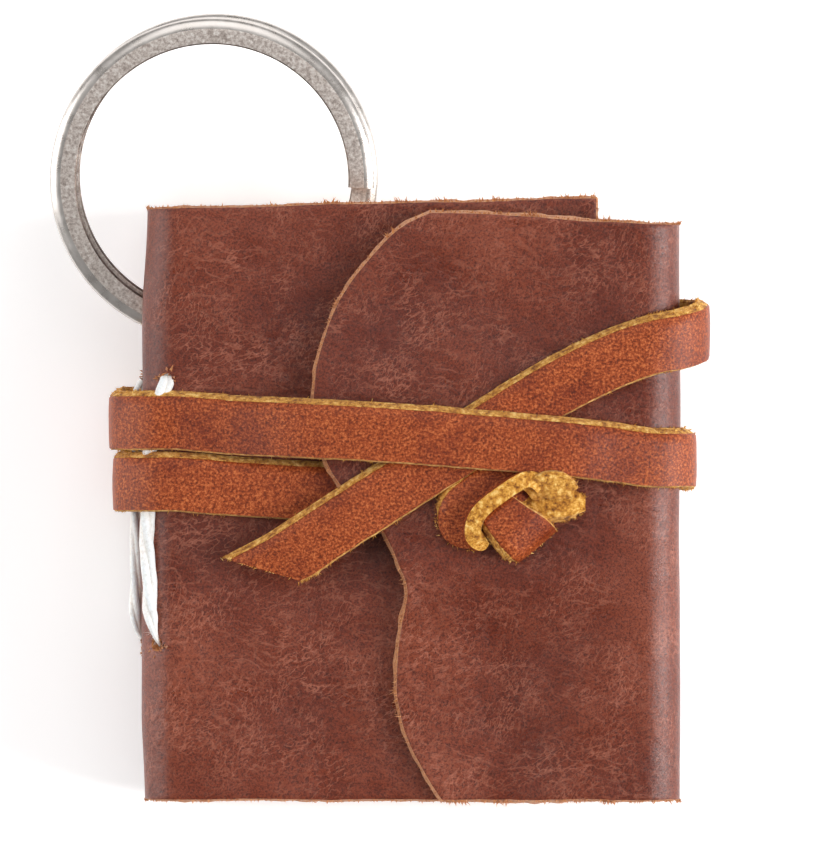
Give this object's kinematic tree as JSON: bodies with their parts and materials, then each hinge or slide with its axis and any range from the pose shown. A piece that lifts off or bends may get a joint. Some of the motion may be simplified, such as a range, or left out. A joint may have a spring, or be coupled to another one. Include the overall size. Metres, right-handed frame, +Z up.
{
  "type": "split key ring with miniature wrap journal fob",
  "caption": "Key ring: a double-turn split ring through the spine of a miniature leather wrap journal, tied shut with a thong.",
  "frame": {"origin": "under the middle of the whole object, on the plane it lies on", "axes": "+Z up out of the front cover, +Y from the journal's tail to its head, +X from its spine to its fore-edge"},
  "size_m": [0.0602, 0.0717, 0.0239],
  "materials": {
    "steel": "nickel plated, tumbled satin on the flats, bright on the rounded outer edge",
    "cover_leather": "smooth waxed full grain, satin, raw suede edges",
    "thong_leather": "mottled pull-up grain, satin, raw golden suede edges and flesh side",
    "paper": "uncoated cotton rag, deckled",
    "thread": "waxed linen, twisted"
  },
  "bodies": {
    "journal": {"leather_cover": "cover_leather", "signature_1_sheet_1": "paper", "signature_1_sheet_2": "paper", "signature_1_sheet_3": "paper", "signature_2_sheet_1": "paper", "signature_2_sheet_2": "paper", "signature_2_sheet_3": "paper", "signature_3_sheet_1": "paper", "signature_3_sheet_2": "paper", "signature_3_sheet_3": "paper", "signature_4_sheet_1": "paper", "signature_4_sheet_2": "paper", "signature_4_sheet_3": "paper", "binding_thread_1": "thread", "binding_thread_2": "thread", "binding_thread_3": "thread", "binding_thread_4": "thread", "thong_wrap": "thong_leather", "thong_knot": "thong_leather"},
    "ring": {"ring_wire": "steel"},
    "ring_tip": {"ring_free_end": "steel"},
    "tail": {"thong_tail": "thong_leather"}
  },
  "joints": [
    {"name": "ring_turn", "type": "hinge", "parent": "journal", "child": "ring", "pos_m": [-0.01515, 0.02083, 0.01031], "axis": [0, -0.0872, 0.9962], "range_deg": [0, 165]},
    {"name": "split_open", "type": "hinge", "parent": "ring", "child": "ring_tip", "pos_m": [-0.01515, 0.02078, 0.01096], "axis": [-0.3024, -0.9496, -0.0831], "range_deg": [0, 8], "stiffness_Nm_per_rad": 0.1},
    {"name": "tail_lift", "type": "hinge", "parent": "journal", "child": "tail", "pos_m": [0.0023, -0.00717, 0.02206], "axis": [-1, 0, 0], "range_deg": [0, 60]}
  ]
}
